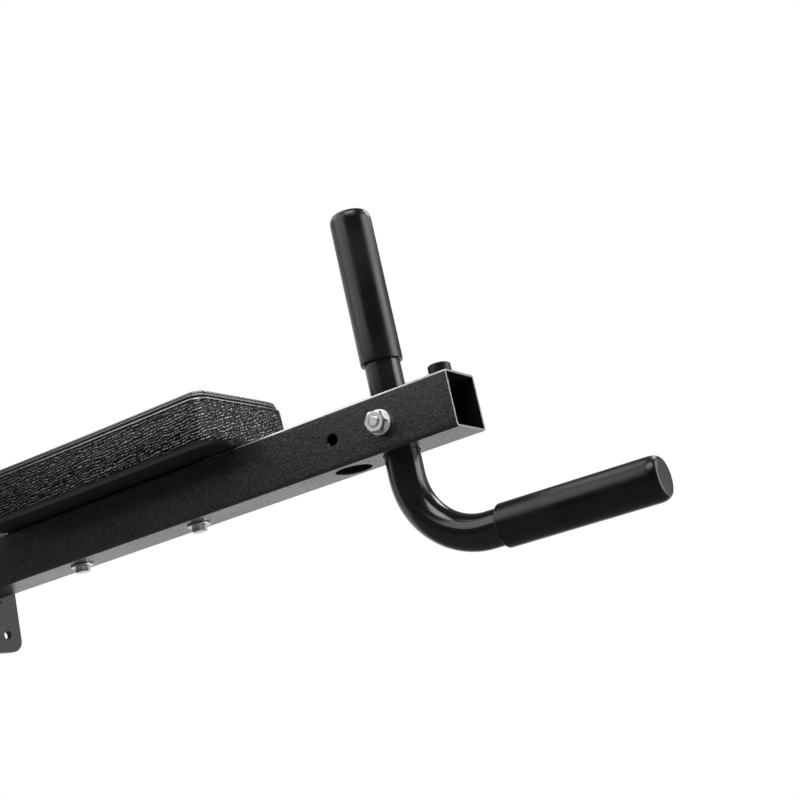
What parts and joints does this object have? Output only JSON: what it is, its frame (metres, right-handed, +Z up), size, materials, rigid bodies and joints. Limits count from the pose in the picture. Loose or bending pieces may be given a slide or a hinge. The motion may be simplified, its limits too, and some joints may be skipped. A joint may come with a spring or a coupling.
{
  "type": "dip station forearm arm",
  "caption": "Wall-mounted forearm arm with a padded rest, an open square tube and a bent two-grip handle bolted through it, movable to a rear hole set.",
  "frame": {"origin": "middle of the wall plate's back face, on the arm tube's axis", "axes": "+X out from the wall along the arm, +Y across it towards the lock bolt's head, +Z up"},
  "size_m": [0.749, 0.1362, 0.326],
  "materials": {
    "powder_coat": "fine-textured matt black powder coat",
    "satin_black": "satin black powder coat",
    "grip_rubber": "smooth satin black rubber",
    "peg_rubber": "matt black rubber",
    "zinc": "bright zinc plate",
    "leatherette": "grained black leatherette over foam",
    "plywood": "bare birch plywood"
  },
  "bodies": {
    "arm": {"arm_tube": "powder_coat", "wall_plate": "powder_coat", "weld_bead": "powder_coat", "handle_tube": "satin_black", "upper_grip": "grip_rubber", "lower_grip": "grip_rubber", "stop_peg": "peg_rubber", "peg_screw": "zinc", "peg_washer": "zinc", "pad_cushion": "leatherette", "pad_piping": "leatherette", "pad_board": "plywood", "pad_bolt_front": "zinc", "pad_bolt_rear": "zinc", "pad_washer_front": "zinc", "pad_washer_rear": "zinc", "tee_nut_front": "zinc", "tee_nut_rear": "zinc"},
    "lock_bolt": {"lock_bolt": "zinc", "bolt_washer": "zinc"},
    "lock_nut": {"lock_nut": "zinc", "nut_washer": "zinc"}
  },
  "joints": [
    {"name": "lock_bolt_draw", "type": "slide", "parent": "arm", "child": "lock_bolt", "axis": [0, 1, 0], "range_m": [0, 0.062]},
    {"name": "lock_nut_off", "type": "slide", "parent": "arm", "child": "lock_nut", "axis": [0, -1, 0], "range_m": [0, 0.012]}
  ]
}
